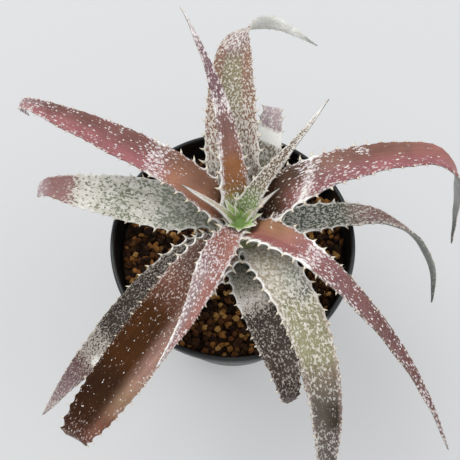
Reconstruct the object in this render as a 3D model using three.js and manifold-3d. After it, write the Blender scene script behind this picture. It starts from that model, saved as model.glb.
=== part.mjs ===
// Potted orthophytum hybrid: a rosette of spiny, channelled, recurved leaves in a round nursery pot.
// Millimetres, +Z up. The origin is the middle of the pot's flat underside, and the photo looks along +Y.

import * as THREE from "three";
import { mergeVertices } from "three/addons/utils/BufferGeometryUtils.js";
import Module from "manifold-3d";

const wasm = await Module();
wasm.setup();

// Pot: a thin moulded cone with a rolled lip
const potHeight = 70;
const lipRadius = 45;
const lipHeight = 4;
const lipWidth = 1.9;
const potWall = 1.2;
const neckRadius = lipRadius - lipWidth + potWall;
const baseRadius = 28;
const baseCorner = 1.4;
const baseFloor = 1.4;
const potSides = 48;

// Underside: a raised ring with drain holes between the standing edge and the flat middle
const recessDepth = 1.6;
const recessInner = 9;
const recessOuter = 21;
const drainHoles = 8;
const drainRadius = 3.5;

// Soil: baked-clay granules, a little below the lip
const soilTop = 60;
const soilGap = 0.4;
const granuleRings = 18;
const granuleHeight = 0.9;
const granuleJitter = 0.35;

// Crown: the short stem, swollen by the leaf sheaths, set a little off the pot's middle
const crownX = 2.5;
const crownY = 4;
const stemRadius = 6;
const stemDepth = 20;
const crownSides = 20;
const crownProfile = [[1.6, 6], [5, 8.6], [10, 9.6], [14, 9], [16, 7.2], [18, 4.6], [19, 3]];
const crownTop = 19.8;
const seatDepth = 2.2;
const clearance = 0.3;

// Blade section: a channel, thick at the base, and the spines on its two edges
const thicknessBase = 2.1;
const thicknessTip = 0.8;
const channelBase = 50;
const channelOuter = 22;
const shoulder = 0.45;
const neckShare = 0.06;
const neckWaist = 0.35;
const spinePitch = 6.8;
const spinePitchTip = 5.6;
const spineLength = 2.3;
const spineLengthTip = 1;
const spineFoot = 1.15;
const sharpBend = 0.35;

// Each leaf, from the heart outwards. Angles are in degrees: azimuth from +X towards +Y, level is the
// height of its base over the soil, rise, run and fall are its slope at the base, halfway and at the
// tip. The outer bend starts at share bendAt and takes share bendOver. Sway and turn move it sideways,
// roll tips the blade, twist turns it over from share twistAt on. A leaf's own waist and neck stand
// for neckWaist and neckShare.
const leaves = [
  { name: "leaf_back_slim", azimuth: 53, level: 17.5, seat: 2.4, rise: 78, run: 6, fall: 28, bendAt: 0.5,
    length: 57, width: 14.7, taper: 0.5, tip: 1.1, sway: -5, colour: 0x7f7a5c },
  { name: "leaf_back_tall", azimuth: 99, level: 17, seat: 2.4, rise: 58, run: 17, fall: 16, bendAt: 0.24,
    length: 82, width: 15.1, taper: 0.84, tip: 1.2, sway: 1, turn: 18, colour: 0x9c6a48 },
  { name: "leaf_front_rose", azimuth: -118.3, level: 16.8, seat: 0.9, rise: 45, run: 13.8, fall: -18.8,
    bendAt: 0.46, length: 68, width: 20.6, taper: 0.81, waist: 0.6, neck: 0.25, sway: 18.4, turn: -26.1,
    colour: 0xa3696a },
  { name: "leaf_right_long", azimuth: -35, level: 16.5, seat: 3.5, rise: 50, run: -11, fall: -47,
    bendAt: 0.4, length: 122, width: 14.9, taper: 0.74, sway: -25.5, colour: 0xa56a60 },
  { name: "leaf_left_long", azimuth: 150, level: 16, rise: 61, run: 9, fall: -113, bendAt: 0.846,
    bendOver: 0.122, length: 99, width: 13, taper: 3.2, sway: 13, roll: 5, colour: 0x9a6a66 },
  { name: "leaf_right_arched", azimuth: 21.5, level: 15, rise: 59.5, run: -7, fall: -81, bendAt: 0.436,
    bendOver: 0.255, length: 147, width: 21.5, taper: 0.82, sway: -27.4, turn: -33.6, roll: 9,
    twist: 41, twistAt: 0.5, twistOver: 0.19, colour: 0x93605c },
  { name: "leaf_back_curled", azimuth: 97.3, level: 14, rise: 41.5, run: -5.6, fall: -8.6, bendAt: 0.577,
    bendOver: 0.33, length: 107.3, width: 21.4, taper: 2.456, tip: 1.451, sway: -19.7, turn: -109,
    roll: 10.8, twist: 134, colour: 0x83785c },
  { name: "leaf_front_broad", azimuth: -123.6, level: 13, rise: 41, run: -5, fall: -94, bendAt: 0.842,
    bendOver: 0.1, length: 103, width: 18.1, taper: 8.7, sway: -3.6, roll: 7.3, colour: 0x4f3527 },
  { name: "leaf_front_olive", azimuth: -54, level: 12, rise: 30, run: 16, fall: -65, bendAt: 0.15,
    length: 116, width: 16, taper: 2.5, sway: -46, colour: 0x85806a },
  { name: "leaf_left_silver", azimuth: 168, level: 11, rise: 34.4, run: 5.6, fall: -73, bendAt: 0.786,
    bendOver: 0.167, length: 76.8, width: 18.5, taper: 2.88, sway: 7.2, roll: 14.8, waist: 0.85,
    neck: 0.17, colour: 0x8f958a },
  { name: "leaf_right_low", azimuth: 3.6, level: 12.5, rise: 20, run: -20, fall: -66, bendAt: 0.284,
    bendOver: 0.877, length: 98, width: 11.2, taper: 1.82, sway: 22, turn: -129, roll: -5.4,
    twist: 124, twistAt: 0.204, twistOver: 0.795, colour: 0x7f8a84 },
  { name: "leaf_back_short", azimuth: 67, level: 8, rise: 38.8, run: 17.6, fall: -117.8, bendAt: 0.757,
    bendOver: 0.164, length: 51.7, width: 10.9, taper: 5.06, sway: 20.5, roll: -3.8, colour: 0x9c8a78 },
  { name: "leaf_front_dark", azimuth: -74, level: 6, rise: 37, run: 16, fall: -94, bendAt: 0.69,
    bendOver: 0.19, length: 81.3, width: 21.2, taper: 2.03, sway: -4.6, colour: 0x4a4448 },
  { name: "leaf_left_narrow", azimuth: -140, level: 7, rise: 38, run: -17, fall: -39, bendAt: 0.26,
    length: 101, width: 17, taper: 2.3, sway: 2, colour: 0x585a52 },
];

// Young unopened leaves: two long spikes and a small bunch of green ones in the heart
const spikes = [
  { name: "spike_left", azimuth: 164.4, level: 17.5, rise: 72, run: 46, fall: 38, bendAt: 0.5,
    length: 30, width: 3.2, taper: 1.1, sway: 2, seat: 1.5, colour: 0xd8d0b8 },
  { name: "spike_right", azimuth: 25.8, level: 17.5, rise: 76, run: 50, fall: 46, bendAt: 0.5,
    length: 23, width: 2.8, taper: 1.1, sway: -7, seat: 1.5, colour: 0xd0cfae },
];
const heartLeaf = { level: 17, rise: 74, run: 52, fall: 42, bendAt: 0.5, length: 15, width: 6.2,
  taper: 1.5, seat: 1.4 };
const heartLeaves = [
  { azimuth: 95, size: 0.8 }, { azimuth: 55, size: 0.78 }, { azimuth: 132, size: 0.75 },
  { azimuth: 2, size: 0.75 }, { azimuth: -30, size: 0.6 },
];

const radians = THREE.MathUtils.degToRad;
const lerp = THREE.MathUtils.lerp;
const smooth = (x) => THREE.MathUtils.smoothstep(x, 0, 1);

// Seeded draw for the uneven granules
let seed = 7;
function draw() {
  seed = (seed * 16807) % 2147483647;
  return seed / 2147483647;
}

// Solids for joining and cutting

function toSolid(geometry) {
  const bare = geometry.clone();
  bare.deleteAttribute("normal");
  bare.deleteAttribute("uv");
  const merged = mergeVertices(bare, 1e-4);
  return new wasm.Manifold(new wasm.Mesh({
    numProp: 3,
    vertProperties: new Float32Array(merged.attributes.position.array),
    triVerts: new Uint32Array(merged.index.array),
  }));
}

function toGeometry(solid) {
  const mesh = solid.getMesh();
  const geometry = new THREE.BufferGeometry();
  geometry.setAttribute("position", new THREE.BufferAttribute(new Float32Array(mesh.vertProperties), 3));
  geometry.setIndex(new THREE.BufferAttribute(new Uint32Array(mesh.triVerts), 1));
  geometry.computeVertexNormals();
  return geometry;
}

// The largest body of a solid that a cut has left in several
function largestBody(solid) {
  const bodies = solid.decompose();
  return bodies.reduce((best, body) => (body.volume() > best.volume() ? body : best));
}

// A closed geometry from points and triangles, turned so that its faces point out
function closedGeometry(points, faces) {
  let volume = 0;
  for (const [a, b, c] of faces) {
    volume += points[a].dot(new THREE.Vector3().crossVectors(points[b], points[c]));
  }
  const outward = volume > 0 ? faces : faces.map(([a, b, c]) => [a, c, b]);
  const geometry = new THREE.BufferGeometry().setFromPoints(points);
  geometry.setIndex(outward.flat());
  return geometry;
}

// Pot

function potGeometry() {
  const shoulderZ = potHeight - lipHeight;
  const inside = baseFloor + recessDepth;
  const outline = [
    [0, 0], [recessInner - 1, 0], [recessInner, recessDepth], [recessOuter, recessDepth],
    [recessOuter + 1, 0], [baseRadius - baseCorner, 0], [baseRadius, baseCorner],
    [neckRadius, shoulderZ - 0.6], [lipRadius - 0.5, shoulderZ], [lipRadius, shoulderZ + 0.7],
    [lipRadius, potHeight - 0.9], [lipRadius - 0.4, potHeight - 0.2], [lipRadius - 1, potHeight],
    [lipRadius - lipWidth + 0.3, potHeight - 0.3], [lipRadius - lipWidth, potHeight - 1],
    [neckRadius - potWall, shoulderZ - 1.6], [baseRadius - potWall, inside + 2.5],
    [baseRadius - potWall - 2, inside], [0, inside],
  ];
  return new THREE.LatheGeometry(outline.map(([r, z]) => new THREE.Vector2(r, z)), potSides)
    .rotateX(Math.PI / 2);
}

function drilledPot() {
  let pot = toSolid(potGeometry());
  const ring = (recessInner + recessOuter) / 2;
  for (let i = 0; i < drainHoles; i += 1) {
    const angle = (i / drainHoles) * 2 * Math.PI;
    const hole = new THREE.CylinderGeometry(drainRadius, drainRadius, 20, 16)
      .rotateX(Math.PI / 2)
      .translate(ring * Math.cos(angle), ring * Math.sin(angle), 0);
    pot = pot.subtract(toSolid(hole));
  }
  return toGeometry(pot);
}

// Soil: rings of 6, 12, 18 and more points, every third a granule's top and the others the dips round it

function innerPotRadius(z) {
  const lower = baseFloor + recessDepth + 2.5;
  const upper = potHeight - lipHeight - 1.6;
  return lerp(baseRadius, neckRadius, (z - lower) / (upper - lower)) - potWall;
}

const hexSteps = [[1, 0], [0, 1], [-1, 1], [-1, 0], [0, -1], [1, -1]];

function isGranuleTop(ring, index) {
  const side = Math.floor(index / Math.max(ring, 1)) % 6;
  const along = index - side * ring;
  const [q, r] = hexSteps[side].map((step, axis) => step * ring + hexSteps[(side + 2) % 6][axis] * along);
  return (((q - r) % 3) + 3) % 3 === 0;
}

function soilGeometry() {
  const radius = innerPotRadius(soilTop) - soilGap;
  const floorZ = baseFloor + recessDepth + soilGap;
  const floorRadius = baseRadius - potWall - 2 - soilGap;
  const cornerZ = floorZ + 2.5;
  const cornerRadius = innerPotRadius(cornerZ) - soilGap;
  const spacing = radius / granuleRings;
  const points = [];
  const faces = [];
  const ringStart = (ring) => (ring === 0 ? 0 : 1 + 3 * ring * (ring - 1));
  for (let ring = 0; ring <= granuleRings; ring += 1) {
    const edge = ring === granuleRings;
    for (let i = 0; i < Math.max(6 * ring, 1); i += 1) {
      const angle = (i / Math.max(6 * ring, 1)) * 2 * Math.PI;
      const wander = edge ? 0 : granuleJitter;
      const r = ring * spacing + (draw() - 0.5) * 2 * wander;
      const turn = angle + (edge ? 0 : ((draw() - 0.5) * 2 * wander) / Math.max(r, 1));
      const lift = isGranuleTop(ring, i) && !edge ? granuleHeight : -granuleHeight;
      const z = soilTop + lift * (0.6 + 0.6 * draw());
      points.push(new THREE.Vector3(r * Math.cos(turn), r * Math.sin(turn), z));
    }
  }
  for (let ring = 1; ring <= granuleRings; ring += 1) {
    const outer = ringStart(ring);
    const inner = ringStart(ring - 1);
    const outerCount = 6 * ring;
    const innerCount = Math.max(6 * (ring - 1), 1);
    for (let side = 0; side < 6; side += 1) {
      for (let i = 0; i < ring; i += 1) {
        const a = outer + side * ring + i;
        const b = outer + ((side * ring + i + 1) % outerCount);
        const c = inner + ((side * (ring - 1) + i) % innerCount);
        faces.push([a, b, c]);
        if (i < ring - 1) {
          faces.push([b, inner + ((side * (ring - 1) + i + 1) % innerCount), c]);
        }
      }
    }
  }
  const count = 6 * granuleRings;
  const rim = ringStart(granuleRings);
  const corner = points.length;
  for (const [r, z] of [[cornerRadius, cornerZ], [floorRadius, floorZ]]) {
    for (let i = 0; i < count; i += 1) {
      const angle = (i / count) * 2 * Math.PI;
      points.push(new THREE.Vector3(r * Math.cos(angle), r * Math.sin(angle), z));
    }
  }
  points.push(new THREE.Vector3(0, 0, floorZ));
  const middle = points.length - 1;
  for (let i = 0; i < count; i += 1) {
    const next = (i + 1) % count;
    for (const [upper, lower] of [[rim, corner], [corner, corner + count]]) {
      faces.push([upper + i, lower + next, upper + next], [upper + i, lower + i, lower + next]);
    }
    faces.push([corner + count + i, middle, corner + count + next]);
  }
  return closedGeometry(points, faces);
}

function soilWithHole() {
  const hole = new THREE.CylinderGeometry(stemRadius + clearance, stemRadius + clearance, 2 * stemDepth + 1, 20)
    .rotateX(Math.PI / 2)
    .translate(crownX, crownY, soilTop);
  return toGeometry(toSolid(soilGeometry()).subtract(toSolid(hole)));
}

// Crown, in its own frame: the axis is z, and the soil's surface is z = 0

function crownRadius(z) {
  const last = crownProfile.length - 1;
  for (let i = 0; i < last; i += 1) {
    const [z0, r0] = crownProfile[i];
    const [z1, r1] = crownProfile[i + 1];
    if (z <= z1) {
      return lerp(r0, r1, (z - z0) / (z1 - z0));
    }
  }
  return crownProfile[last][1];
}

function crownGeometry() {
  const outline = [[-stemDepth, 0], [-stemDepth, stemRadius], ...crownProfile, [crownTop, 0]];
  return new THREE.LatheGeometry(outline.map(([z, r]) => new THREE.Vector2(r, z)), crownSides)
    .rotateX(Math.PI / 2);
}

// Leaves, in the crown's frame

// The middle line of a leaf as a list of points, with the blade's side and upper directions at each
function leafLine(leaf, steps = 240) {
  const { rise, run, fall, bendAt, bendOver = 1 - bendAt, sway = 0, turn = 0, roll = 0 } = leaf;
  const { twist = 0, twistAt = bendAt, twistOver = bendOver } = leaf;
  const bend = (s) => smooth((s - bendAt) / bendOver);
  const slope = (s) => radians(rise + (run - rise) * smooth(s / 0.45) + (fall - run) * bend(s));
  const heading = (s) => radians(leaf.azimuth + sway * s + turn * bend(s));
  const ahead = (s) => new THREE.Vector3(Math.cos(slope(s)) * Math.cos(heading(s)),
    Math.cos(slope(s)) * Math.sin(heading(s)), Math.sin(slope(s)));
  const seat = leaf.seat ?? crownRadius(leaf.level) - seatDepth;
  const azimuth = radians(leaf.azimuth);
  const centre = new THREE.Vector3(seat * Math.cos(azimuth), seat * Math.sin(azimuth), leaf.level);
  const line = [];
  for (let i = 0; i <= steps; i += 1) {
    const s = i / steps;
    const tip = radians(roll * smooth(s / 0.25) + twist * smooth((s - twistAt) / twistOver));
    const level = new THREE.Vector3(Math.sin(heading(s)), -Math.cos(heading(s)), 0);
    const up = new THREE.Vector3().crossVectors(level, ahead(s));
    const side = level.clone().multiplyScalar(Math.cos(tip)).addScaledVector(up, Math.sin(tip));
    const normal = up.clone().multiplyScalar(Math.cos(tip)).addScaledVector(level, -Math.sin(tip));
    line.push({ centre: centre.clone(), side, normal });
    centre.addScaledVector(ahead((i + 0.5) / steps), leaf.length / steps);
  }
  return line;
}

function halfWidth(leaf, s) {
  const outline = (1 - s ** leaf.taper) ** (leaf.tip ?? 1);
  const neck = 1 - (leaf.waist ?? neckWaist) * Math.exp(-((s / (leaf.neck ?? neckShare)) ** 2));
  return (leaf.width / 2) * outline * neck;
}

// Shares along the leaf where its edges have a corner: the two feet and the point of each spine, and
// the middle between two spines where the leaf bends sharply
function stations(leaf) {
  const list = [{ s: 0, spine: 0 }];
  const sharpFrom = leaf.bendOver < sharpBend || leaf.twist ? leaf.twistAt ?? leaf.bendAt : 1;
  for (let at = spinePitch * 0.8; at < leaf.length - 1.5 * spineFoot;) {
    const s = at / leaf.length;
    const foot = (spineFoot * lerp(1, 0.6, s)) / leaf.length;
    const spine = leaf.plain ? 0 : lerp(spineLength, spineLengthTip, s);
    const pitch = lerp(spinePitch, spinePitchTip, s);
    if (s > sharpFrom) {
      list.push({ s: s - pitch / leaf.length / 2, spine: 0 });
    }
    list.push({ s: s - foot, spine: 0 }, { s, spine }, { s: s + foot, spine: 0 });
    at += pitch;
  }
  return list;
}

// A closed blade: the top and bottom faces are split into triangles alike, and the edges are sharp
// unless the blade is grown, which gives the room that a neighbour leaves round it
function bladeGeometry(leaf, grow = 0) {
  const line = leafLine(leaf);
  const across = [1, shoulder, -shoulder, -1];
  const points = [];
  const rings = [];
  const add = (p) => points.push(p) - 1;
  for (const { s, spine } of stations(leaf)) {
    const { centre, side, normal } = line[Math.round(s * (line.length - 1))];
    const thickness = lerp(thicknessBase, thicknessTip, s) * (leaf.thin ?? 1);
    const channel = radians(lerp(channelBase, channelOuter, smooth(s / 0.35)));
    const place = (u, lift, out) => {
      const x = ((halfWidth(leaf, s) + out) * Math.sin(channel * u)) / channel - lift * Math.sin(channel * u);
      const z = ((halfWidth(leaf, s) + out) * (1 - Math.cos(channel * u))) / channel
        + lift * Math.cos(channel * u);
      return add(centre.clone().addScaledVector(side, x).addScaledVector(normal, z));
    };
    const top = [];
    const bottom = [];
    for (const u of across) {
      if (Math.abs(u) < 1) {
        top.push(place(u, grow, 0));
        bottom.push(place(u, -thickness - grow, 0));
      } else {
        top.push(place(u, grow - thickness / 2, spine + grow));
        bottom.push(grow > 0 ? place(u, -grow - thickness / 2, spine + grow) : top.at(-1));
      }
    }
    rings.push({ top, bottom });
  }
  const faces = [];
  const face = (...corners) => {
    if (new Set(corners).size === 3) {
      faces.push(corners);
    }
  };
  const last = across.length - 1;
  for (let i = 0; i + 1 < rings.length; i += 1) {
    const [here, next] = [rings[i], rings[i + 1]];
    for (let j = 0; j < last; j += 1) {
      face(here.top[j], next.top[j + 1], here.top[j + 1]);
      face(here.top[j], next.top[j], next.top[j + 1]);
      face(here.bottom[j], here.bottom[j + 1], next.bottom[j + 1]);
      face(here.bottom[j], next.bottom[j + 1], next.bottom[j]);
    }
    face(here.top[0], here.bottom[0], next.bottom[0]);
    face(here.top[0], next.bottom[0], next.top[0]);
    face(here.top[last], next.bottom[last], here.bottom[last]);
    face(here.top[last], next.top[last], next.bottom[last]);
  }
  const foot = rings[0];
  const end = rings.at(-1);
  const point = add(line.at(-1).centre.clone().addScaledVector(line.at(-1).normal, -thicknessTip / 2));
  for (let j = 0; j < last; j += 1) {
    face(foot.top[j], foot.top[j + 1], foot.bottom[j + 1]);
    face(foot.top[j], foot.bottom[j + 1], foot.bottom[j]);
    face(end.top[j + 1], end.top[j], point);
    face(end.bottom[j], end.bottom[j + 1], point);
  }
  face(end.top[0], end.bottom[0], point);
  face(end.bottom[last], end.top[last], point);
  return closedGeometry(points, faces);
}

function heartSolid(grow = 0) {
  let heart = null;
  for (const { azimuth, size } of heartLeaves) {
    const leaf = { ...heartLeaf, azimuth, length: heartLeaf.length * size,
      width: heartLeaf.width * size, plain: true, thin: 0.6 };
    const solid = toSolid(bladeGeometry(leaf, grow));
    heart = heart ? heart.add(solid) : solid;
  }
  return heart;
}

// Materials, one for each mesh

function finish(colour, roughness) {
  return new THREE.MeshStandardMaterial({ color: colour, roughness, metalness: 0 });
}

function named(name, geometry, material) {
  const mesh = new THREE.Mesh(geometry, material);
  mesh.name = name;
  return mesh;
}

// The plant: every leaf leaves room for those nearer the heart, and the crown for all of them

function buildPlant() {
  const plant = new THREE.Group();
  plant.position.set(crownX, crownY, soilTop);
  let crown = toSolid(crownGeometry());
  const placed = [heartSolid(clearance)];
  const makeRoom = (solid) => placed.reduce((rest, other) => rest.subtract(other), solid);

  plant.add(named("heart_leaves", toGeometry(heartSolid()), finish(0x7fa457, 0.6)));
  for (const leaf of [...spikes, ...leaves]) {
    const solid = toSolid(bladeGeometry(leaf));
    const cut = largestBody(makeRoom(solid));
    plant.add(named(leaf.name, toGeometry(cut), finish(leaf.colour, 0.65)));
    placed.push(toSolid(bladeGeometry(leaf, clearance)));
  }
  crown = largestBody(makeRoom(crown));
  plant.add(named("crown", toGeometry(crown), finish(0x6b5a3c, 0.8)));
  return plant;
}

const part = new THREE.Group();
part.add(named("pot", drilledPot(), finish(0x16181a, 0.35)));
part.add(named("soil", soilWithHole(), finish(0x5a3b22, 0.95)));
part.add(buildPlant());

export default part;
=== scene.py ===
import bpy
import numpy as np
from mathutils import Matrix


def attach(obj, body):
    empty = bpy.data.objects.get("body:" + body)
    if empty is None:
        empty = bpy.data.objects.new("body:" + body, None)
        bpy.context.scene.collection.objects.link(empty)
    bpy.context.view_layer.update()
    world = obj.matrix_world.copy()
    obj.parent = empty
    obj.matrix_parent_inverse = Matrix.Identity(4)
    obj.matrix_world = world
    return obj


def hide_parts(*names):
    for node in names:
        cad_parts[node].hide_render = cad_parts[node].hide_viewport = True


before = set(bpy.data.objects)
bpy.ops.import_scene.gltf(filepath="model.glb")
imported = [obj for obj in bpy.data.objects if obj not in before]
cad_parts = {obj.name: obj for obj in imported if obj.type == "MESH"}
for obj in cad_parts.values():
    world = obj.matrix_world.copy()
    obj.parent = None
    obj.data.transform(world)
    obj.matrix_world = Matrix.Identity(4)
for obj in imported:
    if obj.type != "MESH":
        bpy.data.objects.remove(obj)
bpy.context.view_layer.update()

# Nursery pot
# One thin injection-moulded cone of black polypropylene with a rolled lip. Its underside stands on an
# outer ring and a flat middle, with eight drain holes in the raised ring between them.

MM = 0.001


def tone(code):
    """Linear colour, with alpha, of a six-digit sRGB code: ((c + 0.055) / 1.055) ** 2.4 for each part."""
    part = np.array([int(code[i:i + 2], 16) for i in (0, 2, 4)]) / 255
    linear = np.where(part <= 0.04045, part / 12.92, ((part + 0.055) / 1.055) ** 2.4)
    return np.append(linear, 1.0)


def finish(name, **values):
    """A material with one shader. Each value is the constant of the socket of that name."""
    made = bpy.data.materials.new(name)
    made.use_nodes = True
    shader = made.node_tree.nodes["Principled BSDF"]
    for socket, value in values.items():
        shader.inputs[socket.replace("_", " ")].default_value = value
    return made, made.node_tree, shader


def node(tree, kind, inputs=None, **settings):
    """A shader node. Each input is a number, a vector, a colour or the output of another node."""
    made = tree.nodes.new("ShaderNode" + kind)
    for key, value in settings.items():
        setattr(made, key, value)
    for key, value in (inputs or {}).items():
        if isinstance(value, bpy.types.NodeSocket):
            tree.links.new(value, made.inputs[key])
        else:
            made.inputs[key].default_value = value
    return made


def calc(tree, operation, first, second=0.0, clamp=False):
    """The outcome of one sum, product or the like."""
    return node(tree, "Math", {0: first, 1: second}, operation=operation, use_clamp=clamp).outputs[0]


def vector(tree, operation, first, second):
    """The outcome of one sum or product of vectors."""
    return node(tree, "VectorMath", {0: first, 1: second}, operation=operation).outputs[0]


def painted(tree, name, output="Color"):
    """What the points of the mesh carry under that name."""
    return node(tree, "Attribute", attribute_name=name).outputs[output]


def mixed(tree, share, first, second, mode="MIX"):
    """The colour that share makes of the first and the second."""
    return node(tree, "Mix", {0: share, 6: first, 7: second}, data_type="RGBA", blend_type=mode).outputs[2]


def dimmed(tree, colour, share):
    """The colour times a share, alike for red, green and blue."""
    grey = node(tree, "CombineColor", {0: share, 1: share, 2: share}).outputs[0]
    return mixed(tree, 1.0, colour, grey, "MULTIPLY")


def ramp(tree, value, low, high, start, end):
    """Start where the value is low, end where it is high, and a straight line between."""
    return node(tree, "MapRange", {0: value, 1: low, 2: high, 3: start, 4: end}).outputs[0]


def grain(tree, place, scale, detail=2.0, roughness=0.5):
    """Cloudy noise from 0 to 1, with features 1 / scale across."""
    return node(tree, "TexNoise", {"Vector": place, "Scale": scale, "Detail": detail,
                                   "Roughness": roughness}).outputs["Fac"]


def relief(tree, shader, height, depth):
    """Bump of that depth in metres where the height is 1."""
    made = node(tree, "Bump", {"Height": height, "Distance": depth, "Strength": 1.0})
    tree.links.new(made.outputs[0], shader.inputs["Normal"])


def solid(name, points, faces, finishes, paint=None, groups=None):
    """A mesh object from points in millimetres and faces, with one value a point for each name in paint."""
    mesh = bpy.data.meshes.new(name)
    mesh.from_pydata(np.asarray(points) * MM, [], faces)
    mesh.polygons.foreach_set("use_smooth", np.ones(len(faces), bool))
    for key, values in (paint or {}).items():
        values = np.asarray(values, np.float32)
        kind, word = {1: ("FLOAT", "value"), 3: ("FLOAT_VECTOR", "vector"), 4: ("FLOAT_COLOR", "color")}[
            1 if values.ndim == 1 else values.shape[1]]
        mesh.attributes.new(key, kind, "POINT").data.foreach_set(word, values.ravel())
    for made in finishes:
        mesh.materials.append(made)
    if groups is not None:
        mesh.polygons.foreach_set("material_index", groups)
    mesh.update()
    piece = bpy.data.objects.new(name, mesh)
    bpy.context.scene.collection.objects.link(piece)
    return piece


def rounded(outline, cut, steps=4):
    """Outline with each corner replaced by a quadratic arc: (1-t)^2 a + 2t(1-t) corner + t^2 b, where a and b
    lie cut millimetres from the corner, or a third of the side where that is less."""
    outline = np.asarray(outline, float)
    t = np.linspace(0, 1, steps + 1)[:, None]
    made = [outline[:1]]
    for before, corner, after in zip(outline[:-2], outline[1:-1], outline[2:]):
        ends = []
        for other in (before, after):
            side = np.linalg.norm(other - corner)
            ends.append(corner + (other - corner) * min(cut, side / 3) / side)
        made.append((1 - t) ** 2 * ends[0] + 2 * t * (1 - t) * corner + t ** 2 * ends[1])
    return np.vstack(made + [outline[-1:]])


def walls(rows, columns):
    """Four-sided faces between rows rings of columns points, numbered ring after ring."""
    ring, low = np.arange(columns), np.arange(rows - 1)[:, None] * columns
    after = (ring + 1) % columns
    return np.stack([low + ring, low + after, low + after + columns, low + ring + columns], -1).reshape(-1, 4)


def fan(ring, point):
    """Three-sided faces from each two neighbours of a ring to a point."""
    return np.stack([ring, np.roll(ring, -1), np.full(len(ring), point)], -1)


def copies(count, each, *groups):
    """The faces of all groups for count copies of a piece that has so many points each."""
    start = np.arange(count)[:, None, None] * each
    return [face for group in groups for face in (group + start).reshape(-1, group.shape[1]).tolist()]


def turned(outline, sides):
    """Surface of revolution: (r cos a, r sin a, z) for each point (r, z) of the outline and sides angles a.
    The outline starts and ends on the axis, where the surface closes in a pole."""
    outline = np.asarray(outline, float)
    angle = np.arange(sides) * 2 * np.pi / sides
    ring = outline[1:-1]
    points = np.stack([ring[:, :1] * np.cos(angle), ring[:, :1] * np.sin(angle),
                       ring[:, 1:] * np.ones(sides)], -1).reshape(-1, 3)
    around, first = np.arange(sides), len(ring) * sides
    faces = copies(1, 0, walls(len(ring), sides), fan(around[::-1], first),
                   fan(first - sides + around, first + 1))
    return np.vstack([points, [0, 0, outline[0, 1]], [0, 0, outline[-1, 1]]]), faces


POT_HEIGHT = 70
INNER_FOOT, INNER_TOP = [26.8, 5.5], [43.1, 64.4]
DRAIN_HOLES, DRAIN_RADIUS, DRAIN_RING = 8, 3.5, 15
pot_outline = [
    [0, 0], [8, 0], [9, 1.6], [21, 1.6], [22, 0], [26.6, 0], [28, 1.4], [30.2, 10.2], [30.6, 10.5],
    [44.25, 65.0], [44.5, 65.9], [45, 66.7], [45, 69.1], [44.6, 69.8], [44, 70], [43.4, 69.7], [43.1, 69],
    INNER_TOP, INNER_FOOT, [24.8, 3], [0, 3]]

black_plastic, tree, shader = finish("black_plastic", Roughness=0.4, IOR=1.49)
place = node(tree, "TexCoord").outputs["Object"]
height_up = node(tree, "SeparateXYZ", {0: place}).outputs["Z"]
dust = calc(tree, "MULTIPLY", ramp(tree, grain(tree, place, 160.0, 5.0, 0.7), 0.52, 0.75, 0.0, 1.0),
            ramp(tree, height_up, 0.0, 0.07, 0.4, 0.16))
scuff = grain(tree, place, 900.0, 3.0)
tree.links.new(mixed(tree, dust, tone("0E0F10"), tone("4A4640")), shader.inputs["Base Color"])
tree.links.new(calc(tree, "ADD", ramp(tree, scuff, 0.3, 0.7, 0.34, 0.46), calc(tree, "MULTIPLY", dust, 0.3)),
               shader.inputs["Roughness"])
relief(tree, shader, scuff, 0.00004)

pot_points, pot_faces = turned(rounded(pot_outline, 0.7), 192)
pot = solid("nursery_pot", pot_points, pot_faces, [black_plastic])
drill_points, drill_faces = [], []
for k in range(DRAIN_HOLES):
    angle = k * 2 * np.pi / DRAIN_HOLES
    peg_points, peg_faces = turned([[0, -2], [DRAIN_RADIUS, -2], [DRAIN_RADIUS, 5], [0, 5]], 40)
    peg_points += [DRAIN_RING * np.cos(angle), DRAIN_RING * np.sin(angle), 0]
    drill_faces += [[c + len(peg_points) * k for c in face] for face in peg_faces]
    drill_points.append(peg_points)
drill = solid("drill", np.vstack(drill_points), drill_faces, [])
holes = pot.modifiers.new("drain_holes", "BOOLEAN")
holes.object, holes.operation, holes.solver = drill, "DIFFERENCE", "EXACT"
bpy.context.view_layer.update()
drilled = bpy.data.meshes.new_from_object(pot.evaluated_get(bpy.context.evaluated_depsgraph_get()))
pot.modifiers.remove(holes)
pot.data = drilled
bpy.data.objects.remove(drill)
pot_sharp = pot.modifiers.new("sharp_edges", "EDGE_SPLIT")
pot_sharp.split_angle = np.radians(38)
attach(pot, "root")
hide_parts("pot")

# Clay granules
# Baked-clay grit, poured in to just under the lip and round the stem: a bed with loose, uneven granules
# of 1.8 to 3.2 mm on top. The bed is painted dark brown to near black, as painted shade in the deep gaps
# between the granules. They lie as they fell, one on another.

SOIL_TOP = 60
CROWN_X, CROWN_Y = 2.5, 4
STEM_HOLE = 6.2
BED_TOP = SOIL_TOP - 1.3
draw = np.random.default_rng(20240611)


def wall_inside(z):
    """Radius of the pot's inner wall at a height: foot + (z - foot z) (top - foot) / (top z - foot z)."""
    (foot, foot_z), (top, top_z) = INNER_FOOT, INNER_TOP
    return foot + (z - foot_z) * (top - foot) / (top_z - foot_z)


bed_rings = np.linspace(STEM_HOLE, wall_inside(SOIL_TOP) - 0.5, 40)
bed_outline = ([[0, 3.4], [24.2, 3.4], [25.9, 5.6], [wall_inside(SOIL_TOP - 3) - 0.5, SOIL_TOP - 3]]
               + [[r, BED_TOP] for r in bed_rings[::-1]] + [[STEM_HOLE, 37], [0, 37]])
bed_points, bed_faces = turned(bed_outline, 150)
on_top = np.abs(bed_points[:, 2] - BED_TOP) < 0.01
bed_points[on_top, 2] += draw.normal(0, 0.35, on_top.sum())
share_in = np.clip((wall_inside(SOIL_TOP) - np.hypot(bed_points[:, 0], bed_points[:, 1])) / 36, 0, 1)
high = bed_points[:, 2] > 36
bed_points[high, 0] += CROWN_X * share_in[high]
bed_points[high, 1] += CROWN_Y * share_in[high]

# The bed's dark brown to near-black tone is painted shade for the deep gaps between the granules.
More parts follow.
